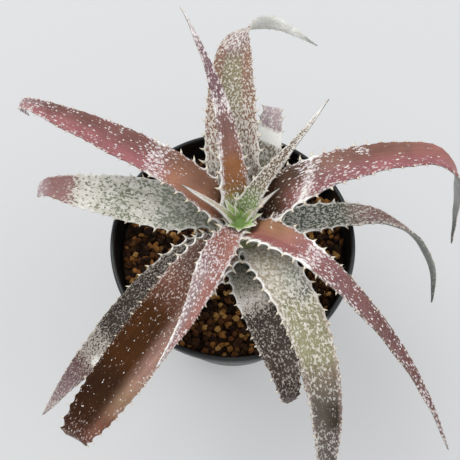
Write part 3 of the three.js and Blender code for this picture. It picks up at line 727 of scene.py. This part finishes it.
TONES = dict(
    horn="EAE2CE", horn_tip="C4AA84", wool="ECE7E0", underside="8A8D87", slate_green="4C564C", rose="92585A",
    deep_rose="7E4A4E", salmon="9C6158", salmon_brown="955F4C", rosy_brown="7F574A", tan_rose="704A3E",
    brown_rose="704842", mauve_rose="784F50", caramel="7C5440", dark_caramel="5F4028", amber="875630",
    plum_rose="6C4B51", mauve="7E646A", pale_mauve="A08C90", mauve_brown="73524D", chocolate="48301F",
    edge_brown="6A5440", base_salmon="905C50", dusk_rose="684440", moss="8E9A50", gold_brown="80602E",
    bronze="9C7254", rosewood="8E5654", tan="9A6850", dull_salmon="8E5A50", ash_rose="8C7472",
    light_under="A4A6A2")
rose_skin = leaf_skin("rose_leaf_skin", 0.8, 1.6, 0.5, "EDE5E4", "CDBFBD")
rose_leaves = [
    dict(name="leaf_back_tall", azimuth=99, level=17, seat=2.4, rise=58, run=17, fall=16, bendAt=0.24,
         length=82, width=15.1, taper=0.84, tip=1.2, sway=1, turn=18,
         left=((0.09, "moss"), (0.14, "gold_brown"), (0.2, "amber"), (0.27, "amber"), (0.33, "rosy_brown"),
             (0.48, "mauve_brown"), (0.58, "plum_rose"), (0.75, "plum_rose"), (1, "pale_mauve")),
         scurf=((0, 0.55), (0.14, 0.5), (0.22, 0.15), (0.42, 0.05), (0.47, 0.3), (0.5, 0.68), (0.55, 0.7),
             (0.59, 0.4), (0.72, 0.42), (0.85, 0.75), (1, 0.95)), patches=((0.28, -1.0, 0.14, 0.35, 0.45),),
         feltWidth=1.7, felt=((0, 0.7), (0.45, 0.6), (0.6, 0.3)),
         tufts=((0, 0.02), (0.42, 0.05), (0.5, 0.3), (0.8, 0.35), (1, 0.1))),
    dict(name="leaf_front_rose", azimuth=-118.3, level=16.8, seat=0.9, rise=45, run=13.8, fall=-18.8,
         bendAt=0.46, length=68, width=20.6, taper=0.81, waist=0.6, neck=0.25, sway=18.4, turn=-26.1,
         left=((0.25, "base_salmon"), (0.4, "dull_salmon"), (0.8, "dull_salmon"), (1, "mauve_rose")),
         right=((0.2, "base_salmon"), (0.35, "mauve_rose"), (0.45, "ash_rose")), sharp=1.3,
         scurf=((0, 0.7), (0.12, 0.6), (0.2, 0.45), (0.3, 0.6), (0.42, 0.75), (0.5, 0.4), (0.7, 0.35),
             (0.9, 0.7), (1, 0.9)), patches=((0.7, 0.7, 0.3, 0.45, 0.4),),
         felt=((0, 0.9), (0.3, 0.5), (1, 0.3)), tufts=((0, 0.2), (0.2, 0.45), (0.8, 0.45), (1, 0.2))),
    dict(name="leaf_right_long", azimuth=-35, level=16.5, seat=3.5, rise=50, run=-11, fall=-47, bendAt=0.4,
         length=122, width=14.9, taper=0.74, sway=-25.5,
         left=((0.15, "bronze"), (0.24, "rosewood"), (0.36, "mauve_rose"), (0.5, "dusk_rose")),
         right=((0, "salmon"), (0.1, "rosewood"), (0.25, "rosewood"), (0.38, "mauve_rose"),
             (0.55, "dusk_rose")), rim=((0, "salmon_brown"), (0.3, "edge_brown")), rimmed=0.6,
         scurf=((0, 0.02), (0.2, 0.04), (0.24, 0.3), (0.262, 0.95), (0.298, 0.95), (0.32, 0.4),
             (0.4, 0.24), (0.55, 0.32), (0.7, 0.42), (0.8, 0.7), (1, 0.75)),
         patches=((0.08, 0.95, 0.1, 0.3, 1.0), (0.42, 0.8, 0.12, 0.4, 0.2)),
         felt=((0, 1.2), (0.22, 1.1), (0.3, 0.4), (1, 0.2)), feltWidth=0.75,
         tufts=((0, 0.0), (0.18, 0.02), (0.24, 0.3), (0.8, 0.4), (1, 0.2))),
    dict(name="leaf_left_long", azimuth=150, level=16, rise=61, run=9, fall=-113, bendAt=0.846,
         bendOver=0.122, length=99, width=13, taper=3.2, sway=13, roll=5,
         left=((0, "caramel"), (0.12, "tan"), (0.3, "tan"), (0.37, "rose"), (0.85, "rose"),
             (1, "pale_mauve")),
         right=((0, "dark_caramel"), (0.3, "caramel"), (0.42, "brown_rose"), (0.8, "brown_rose"),
             (1, "pale_mauve")), slant=-0.01, dashes=1.5, patches=((0.03, -0.9, 0.06, 0.4, 1.2),),
         scurf=((0, 0.08), (0.25, 0.1), (0.31, 0.2), (0.345, 0.75), (0.37, 0.95), (0.4, 0.9), (0.43, 0.3),
             (0.47, 0.14), (0.55, 0.24), (0.7, 0.24), (0.78, 0.32), (0.86, 0.6), (1, 0.9)),
         below=((0.7, "underside"), (0.85, "pale_mauve")), scurf_below=((0, 0.3), (0.8, 0.4), (0.9, 0.9)),
         felt=((0, 1.2), (0.25, 1.0), (0.35, 0.3), (1, 0.4)), hairy=0.8, woolly=1.3,
         tufts=((0, 0.02), (0.25, 0.05), (0.3, 0.3), (0.44, 0.2), (0.5, 0.22), (0.8, 0.3), (0.88, 0.5))),
    dict(name="leaf_right_arched", azimuth=21.5, level=15, rise=59.5, run=-7, fall=-81, bendAt=0.436,
         bendOver=0.255, length=147, width=21.5, taper=0.82, sway=-27.4, turn=-33.6, roll=9, twist=41,
         twistAt=0.5, twistOver=0.19,
         left=((0.18, "chocolate"), (0.25, "rosy_brown"), (0.35, "tan_rose"), (0.45, "rosy_brown"),
             (0.56, "salmon"), (0.65, "salmon"), (1, "mauve_brown")), slant=0.03,
         right=((0.1, "chocolate"), (0.17, "rosewood"), (0.24, "deep_rose"), (0.4, "rose"), (0.62, "rose"),
             (1, "mauve_brown")),
         scurf=((0, 0.12), (0.15, 0.18), (0.18, 0.65), (0.197, 1.1), (0.215, 0.9), (0.235, 0.35),
             (0.3, 0.22), (0.36, 0.06), (0.55, 0.06), (1, 0.15)),
         patches=((0.38, 0.6, 0.2, 0.45, 0.3), (0.345, -0.7, 0.015, 0.3, 0.8), (0.08, 0.95, 0.04, 0.3, 1.2)),
         below=((0.6, "underside"), (0.66, "light_under"), (0.74, "light_under"), (0.9, "slate_green")),
         dashes=2.2,
         tufts=((0, 0.1), (0.12, 0.15), (0.18, 0.3), (0.35, 0.25), (0.4, 0.1), (0.6, 0.06), (0.7, 0.0))),
]
for leaf in rose_leaves:
    leaf_piece(leaf, rose_skin)

# Silver leaves
# Six leaves of the same build, kept greener by the shade: olive, fern and blue-grey skin that shows only
# between close rows of cream scurf. The outer ones end in mauve tips, and one is twisted over by its curl.

TONES.update(
    rust="7A5240", rust_mauve="714A43", taupe="6F6150", pale_taupe="8C7F6E", olive="817C5C",
    olive_brown="6A5C42", dark_olive="2E2416", fern="4E5444", teal_grey="565D50", sage="6C7A40",
    olive_tan="766A4E", mauve_taupe="7A665E", blue_grey="5E625A", pale_pink="A98E88", fresh_green="66803C",
    pale_underside="DADBD7", plum_grey="564A45", mauve_grey="5F554B", bark="5A4430", light_taupe="A0937C",
    light_grey="828676", light_fern="747A62", light_mauve_brown="8E6864", dusty_mauve="A08A90",
    brown_taupe="7A6450", dull_pink="82666A")
silver_skin = leaf_skin("silver_leaf_skin", 0.85, 1.4, 0.55, "EEEAE2", "C6C0B2", worms=True)
silver_leaves = [
    dict(name="leaf_back_slim", azimuth=53, level=17.5, seat=2.4, rise=78, run=6, fall=28, bendAt=0.5,
         length=57, width=14.7, taper=0.5, tip=1.1, sway=-5,
         left=((0.18, "fresh_green"), (0.3, "olive_brown"), (0.42, "bark"), (0.8, "bark"), (1, "pale_taupe")),
         scurf=((0, 0.35), (0.2, 0.55), (0.5, 0.55), (0.8, 0.7), (1, 1.2)), feltWidth=0.45,
         felt=((0, 0.6), (1, 0.3))),
    dict(name="leaf_back_curled", azimuth=97.3, level=14, rise=41.5, run=-5.6, fall=-8.6, bendAt=0.577,
         bendOver=0.33, length=107.3, width=21.4, taper=2.456, tip=1.451, sway=-19.7, turn=-109, roll=10.8,
         twist=134,
         left=((0.3, "brown_taupe"), (0.42, "olive_tan"), (0.56, "olive_tan"), (0.62, "dull_pink"),
             (0.75, "dull_pink"), (1, "mauve")), coarse=1.35,
         rim=((0, "taupe"), (0.3, "rust"), (0.6, "rust"), (0.68, "dull_pink"), (1, "mauve")), rimmed=0.85,
         rimFrom=0.35, felt=((0, 0.7), (0.2, 0.2), (0.6, 0.1)),
         scurf=((0, 0.65), (0.2, 0.75), (0.35, 0.6), (0.45, 0.48), (0.58, 0.42), (0.63, 0.65), (0.7, 0.75),
             (1, 0.6)),
         below=((0, "underside"), (0.6, "pale_underside"), (0.9, "pale_underside"), (1, "slate_green")),
         scurf_below=((0, 0.3), (0.6, 0.85), (1, 0.5))),
    # Its base, up to s 0.2, is painted paler than its own olive, as painted light against the shade cast there
    # by the leaves above.
    dict(name="leaf_front_olive", azimuth=-54, level=12, rise=30, run=16, fall=-65, bendAt=0.15, length=116,
         width=16, taper=2.5, sway=-46,
         left=((0.14, "light_taupe"), (0.2, "light_grey"), (0.28, "blue_grey"), (0.32, "olive"),
             (0.48, "olive"), (0.53, "taupe"), (0.6, "mauve_grey"), (0.63, "dark_olive"),
             (0.68, "dark_olive"), (0.71, "plum_grey")),
         right=((0.2, "light_taupe"), (0.3, "olive"), (0.48, "olive"), (0.53, "taupe"),
             (0.6, "mauve_grey"), (1, "plum_grey")),
         scurf=((0, 0.6), (0.1, 0.65), (0.2, 0.72), (0.3, 0.65), (0.4, 0.55), (0.5, 0.45), (0.6, 0.35),
             (0.63, 0.15), (0.68, 0.15), (0.71, 0.45), (1, 0.55)), patches=((0.66, 0.95, 0.1, 0.3, 0.35),),
         rim=((1, "pale_pink"),), rimmed=0.4, coarse=1.2),
    # Its grey and fern tones from the base to s 0.6 are partly its own colour and partly painted light, paler
    # against the shade near the crown.
    dict(name="leaf_left_silver", azimuth=168, level=11, rise=34.4, run=5.6, fall=-73, bendAt=0.786,
         bendOver=0.167, length=76.8, width=18.5, taper=2.88, sway=7.2, roll=14.8, waist=0.85, neck=0.17,
         left=((0.3, "light_grey"), (0.36, "light_fern"), (0.6, "light_fern"), (0.7, "taupe"),
             (0.75, "light_mauve_brown"), (0.83, "light_mauve_brown"), (0.9, "dusty_mauve")),
         patches=((0.38, -0.3, 0.06, 0.5, 0.15), (0.05, 0.8, 0.06, 0.5, 0.8), (0.52, 0.8, 0.06, 0.4, 0.2)),
         coarse=1.2,
         scurf=((0, 0.5), (0.2, 0.55), (0.3, 0.6), (0.34, 0.8), (0.43, 0.8), (0.48, 0.68), (0.58, 0.78),
             (0.63, 0.95), (0.69, 0.98), (0.73, 0.6), (0.78, 0.12), (0.84, 0.08), (0.88, 0.4), (1, 0.5)),
         spiny=1.1, hairy=1.1, woolly=1.3),
    dict(name="leaf_right_low", azimuth=3.6, level=12.5, rise=20, run=-20, fall=-66, bendAt=0.284,
         bendOver=0.877, length=98, width=11.2, taper=1.82, sway=22, turn=-129, roll=-5.4, twist=124,
         twistAt=0.204, twistOver=0.795,
         left=((0.15, "teal_grey"), (0.22, "fern"), (0.31, "fern"), (0.37, "mauve_taupe"),
             (0.45, "mauve_brown"), (0.6, "rust_mauve")), coarse=1.25,
         scurf=((0, 0.6), (0.08, 0.62), (0.15, 0.62), (0.3, 0.5), (0.4, 0.46), (0.6, 0.4))),
    dict(name="leaf_back_short", azimuth=67, level=8, rise=38.8, run=17.6, fall=-117.8, bendAt=0.757,
         bendOver=0.164, length=51.7, width=10.9, taper=5.06, sway=20.5, roll=-3.8,
         left=((0.2, "sage"), (0.32, "olive"), (0.5, "taupe"), (0.6, "taupe"), (0.68, "dusty_mauve")),
         scurf=((0, 0.5), (0.3, 0.68), (0.54, 0.6), (0.57, 1.3), (0.64, 1.3), (0.69, 0.55), (1, 0.65)),
         slant=0.02, ragged=1.4, spiny=1.3),
]
for leaf in silver_leaves:
    leaf_piece(leaf, silver_skin)

# Brown leaf
# The broad front leaf, burnt dark brown by the sun and paler brown on its left side, nearly bare, with only
# thin scurf. Its margins are ragged, and mauve towards the tip.

TONES.update(
    rust_brown="6A4436", umber="422408", dark_umber="321A08", burnt_mauve="6A4E44", burnt_end="5A3A30",
    pale_brown="8E6C60", fawn="866A52")
brown_skin = leaf_skin("brown_leaf_skin", 0.75, 1.3, 0.42, "D8C6BC", "A8948A", 0.22, shine=0.15)
broad_leaf = dict(
    name="leaf_front_broad", azimuth=-123.6, level=13, rise=41, run=-5, fall=-94, bendAt=0.842, bendOver=0.1,
    length=103, width=18.1, taper=8.7, sway=-3.6, roll=7.3,
    left=((0, "burnt_mauve"), (0.15, "pale_brown"), (0.6, "pale_brown"), (0.72, "fawn"),
        (0.82, "rust_brown"), (1, "burnt_end")), parted=-0.4, sharp=1.8,
    right=((0.22, "burnt_mauve"), (0.32, "rust_brown"), (0.42, "umber"), (0.6, "umber"),
        (0.68, "dark_umber"), (0.84, "dark_umber"), (0.92, "burnt_end"), (1, "mauve")),
    scurf=((0, 0.6), (0.24, 0.55), (0.34, 0.45), (0.42, 0.15), (0.55, 0.08), (0.8, 0.08), (0.88, 0.35),
        (1, 0.5)),
    patches=((0.4, -0.7, 0.12, 0.35, 0.35), (0.62, -0.95, 0.04, 0.2, 0.6), (0.75, -0.95, 0.03, 0.2, 0.6),
        (0.97, 0.9, 0.06, 0.35, 1.1)), dashes=1.6, speck=0.7, ragged=1.0,
    tufts=((0, 0.3), (0.3, 0.4), (0.9, 0.35), (1, 0.4)))
leaf_piece(broad_leaf, brown_skin)

# Dark leaves
# The two lowest front leaves, which lie in the shade of the others: green-black to purple-black skin under
# close grey scurf, with a silver band, and notched, reddish ends. The scurf's grey is partly painted shade,
# and the front leaf's base is painted paler, as painted light.

TONES.update(dark_fern="5C6248", slate="6A6A62", soot="322820", soot_plum="33241D", dark_end="553631")
# The scurf tones of this skin are greyer than the silver leaves', partly dull scurf and partly painted shade
# from the leaves above.
dark_skin = leaf_skin("dark_leaf_skin", 0.8, 1.3, 0.5, "CEC6BC", "9C9288", worms=True, shine=0.3)
dark_leaves = [
    # The front one's base tone, up to s 0.28, is painted paler than its green-black, as painted light against
    # the shade of the leaves above.
    dict(name="leaf_front_dark", azimuth=-74, level=6, rise=37, run=16, fall=-94, bendAt=0.69, bendOver=0.19,
         length=81.3, width=21.2, taper=2.03, sway=-4.6,
         left=((0.28, "dark_fern"), (0.34, "slate"), (0.4, "soot"), (0.6, "soot_plum"),
             (0.85, "soot_plum"), (1, "dark_end")), slant=-0.03,
         scurf=((0, 0.8), (0.2, 0.75), (0.25, 0.85), (0.32, 1.02), (0.36, 0.9), (0.42, 0.38), (0.7, 0.38),
             (1, 0.42)), bays=1.2, ragged=1.2),
    dict(name="leaf_left_narrow", azimuth=-140, level=7, rise=38, run=-17, fall=-39, bendAt=0.26, length=101,
         width=17, taper=2.3, sway=2,
         left=((0.55, "soot"), (0.65, "soot_plum"), (0.72, "dark_end"), (0.85, "mauve"), (1, "dusty_mauve")),
         patches=((0.68, -0.6, 0.04, 0.5, 0.3), (0.45, 0.0, 0.1, 0.4, 0.15)),
         scurf=((0, 0.55), (0.2, 0.6), (0.3, 0.5), (0.4, 0.36), (0.56, 0.32), (0.6, 0.8), (0.69, 0.85),
             (0.74, 0.4), (0.85, 0.5), (1, 0.75))),
]
for leaf in dark_leaves:
    leaf_piece(leaf, dark_skin)

# Young spikes
# Two young leaves still rolled to a point, cream under their wool, which lean out from between the inner
# leaves.

TONES.update(spike_cream="C2B6A0", spike_base="8CA05C")
spike_skin = leaf_skin("young_spike_skin", 0.7, 1.6, 0.55, "EAE6DA", "CCC7B4")
for name, azimuth, rise, run, fall, length, width, sway in (
        ("spike_left", 164.4, 72, 46, 38, 30, 3.2, 2), ("spike_right", 25.8, 76, 50, 46, 23, 2.8, -7)):
    spike = dict(
        name=name, azimuth=azimuth, level=17.5, rise=rise, run=run, fall=fall, bendAt=0.5, length=length,
        width=width, taper=1.1, sway=sway, seat=1.5, spiny=0, bays=0.15, across=16,
        left=((0.2, "spike_base"), (0.4, "spike_cream")), feltWidth=0.4, felt=((0, 1.0), (1, 0.8)),
        scurf=((0, 0.2), (1, 0.5)))
    leaf_piece(spike, spike_skin, 60)

# Heart leaves
# The newest leaves, eleven small green ones in a bunch over the growing point: five outer ones and, inside
# them, six that are smaller and steeper. They are still without spines, and edged with white felt.

TONES.update(apple_green="98B268", leaf_green="6A8E44", pale_green="C2CC9C")
heart_skin = leaf_skin("heart_leaf_skin", 0.8, 1.3, 0.42, "E6E9D2", "BCC49C")
heart_pieces = []
for k, (azimuth, size, rise) in enumerate([
        (95, 0.8, 74), (55, 0.78, 74), (132, 0.75, 74), (2, 0.75, 74), (-30, 0.6, 74), (170, 0.55, 76),
        (215, 0.5, 78), (265, 0.5, 78), (315, 0.5, 80), (20, 0.5, 84), (110, 0.45, 86)]):
    leaf = dict(name=f"heart_{k}", azimuth=azimuth, level=17, rise=rise, run=rise - 22, fall=42, bendAt=0.5,
                length=15 * size, width=6.2 * size, taper=1.5, seat=1.4, thin=0.6, step=0.4, across=16,
                bays=0.2, left=((0, "leaf_green"), (0.5, "apple_green"), (1, "pale_green")),
                scurf=((0, 0.1), (0.5, 0.2), (1, 0.4)), feltWidth=0.35, felt=((0, 0.6), (1, 1.0)))
    heart_pieces.append(leaf_blade(leaf))
heart_points, heart_faces, heart_paint = joined(heart_pieces)
heart = solid("heart_leaves_grown", heart_points, heart_faces, [heart_skin], heart_paint)
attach(heart, "root")
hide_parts("heart_leaves")

# Studio
# A plain pale floor that glows a little, a large soft light from behind on the left, a cool one on the right,
# a pale grey room, and the camera above the front of the pot.

pale_floor, tree, shader = finish("pale_floor", Roughness=0.9, Emission_Strength=0.3)
shader.inputs["Base Color"].default_value = tone("A0A1A2")
shader.inputs["Emission Color"].default_value = tone("FFFFFF")
floor = solid("floor", [[-3000, -3000, 0], [3000, -3000, 0], [3000, 3000, 0], [-3000, 3000, 0]],
              [[0, 1, 2, 3]], [pale_floor])

for name, spot, size, power, colour in (
        ("key_light", (-0.9, 0.8, 1.6), 1.3, 21, (1.0, 0.99, 0.97)),
        ("side_light", (1.3, 0.1, 1.0), 1.0, 6, (0.93, 0.96, 1.0))):
    lamp = bpy.data.lights.new(name, "AREA")
    lamp.shape, lamp.size, lamp.energy, lamp.color = "SQUARE", size, power, colour
    stand = bpy.data.objects.new(name, lamp)
    stand.location = spot
    away = np.array(spot) - [0, 0, 0.08]
    tilt = np.arctan2(np.hypot(away[0], away[1]), away[2])
    stand.rotation_euler = (tilt, 0, np.arctan2(away[1], away[0]) + np.pi / 2)
    bpy.context.scene.collection.objects.link(stand)

world = bpy.data.worlds.new("grey_room")
world.use_nodes = True
world.node_tree.nodes["Background"].inputs["Color"].default_value = (0.96, 0.975, 1.0, 1)
world.node_tree.nodes["Background"].inputs["Strength"].default_value = 0.8
bpy.context.scene.world = world
bpy.context.scene.view_settings.view_transform = "Standard"
bpy.context.scene.view_settings.exposure = 0.0

CAMERA_BACK, CAMERA_UP = 0.1485, 0.4414
lens = bpy.data.cameras.new("camera")
lens.sensor_width, lens.lens = 36, 85.5
lens.shift_x, lens.shift_y = -0.006, 0.0254
lens.clip_start, lens.clip_end = 0.01, 20
camera = bpy.data.objects.new("camera", lens)
camera.location = (0, -CAMERA_BACK, CAMERA_UP)
camera.rotation_euler = (np.arctan2(CAMERA_BACK, CAMERA_UP - POT_HEIGHT * MM), 0, 0)
bpy.context.scene.collection.objects.link(camera)
bpy.context.scene.camera = camera
